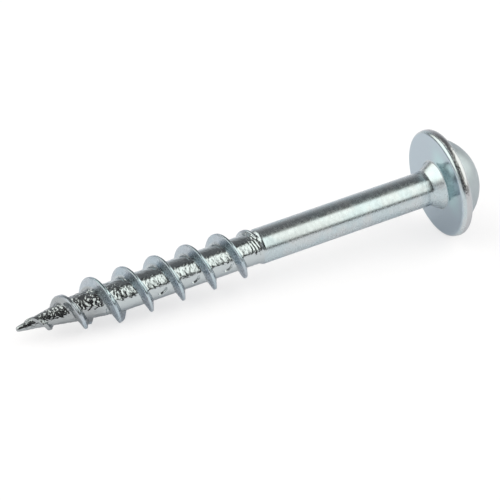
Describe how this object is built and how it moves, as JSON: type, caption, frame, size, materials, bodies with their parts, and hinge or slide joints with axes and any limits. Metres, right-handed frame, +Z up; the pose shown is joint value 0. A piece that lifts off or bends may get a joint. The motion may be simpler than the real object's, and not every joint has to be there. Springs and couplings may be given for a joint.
{
  "type": "pocket hole screw",
  "caption": "Washer-head wood screw with a domed top, square drive recess, plain shank, coarse right-hand thread and a notched auger point, lying on its side.",
  "frame": {"origin": "on the table, under the middle of the lying screw's box", "axes": "+Z up, +X along the screw towards its head; the axis dips towards the point by 4.8 degrees, because the screw lies on its washer's rim and its thread"},
  "size_m": [0.0414, 0.0092, 0.0093],
  "materials": {
    "zinc": "bright blue-white zinc plating over cold-formed steel, smooth on the head and shank and finely wrinkled on the rolled root"
  },
  "bodies": {
    "root": {"screw": "zinc"}
  },
  "joints": []
}
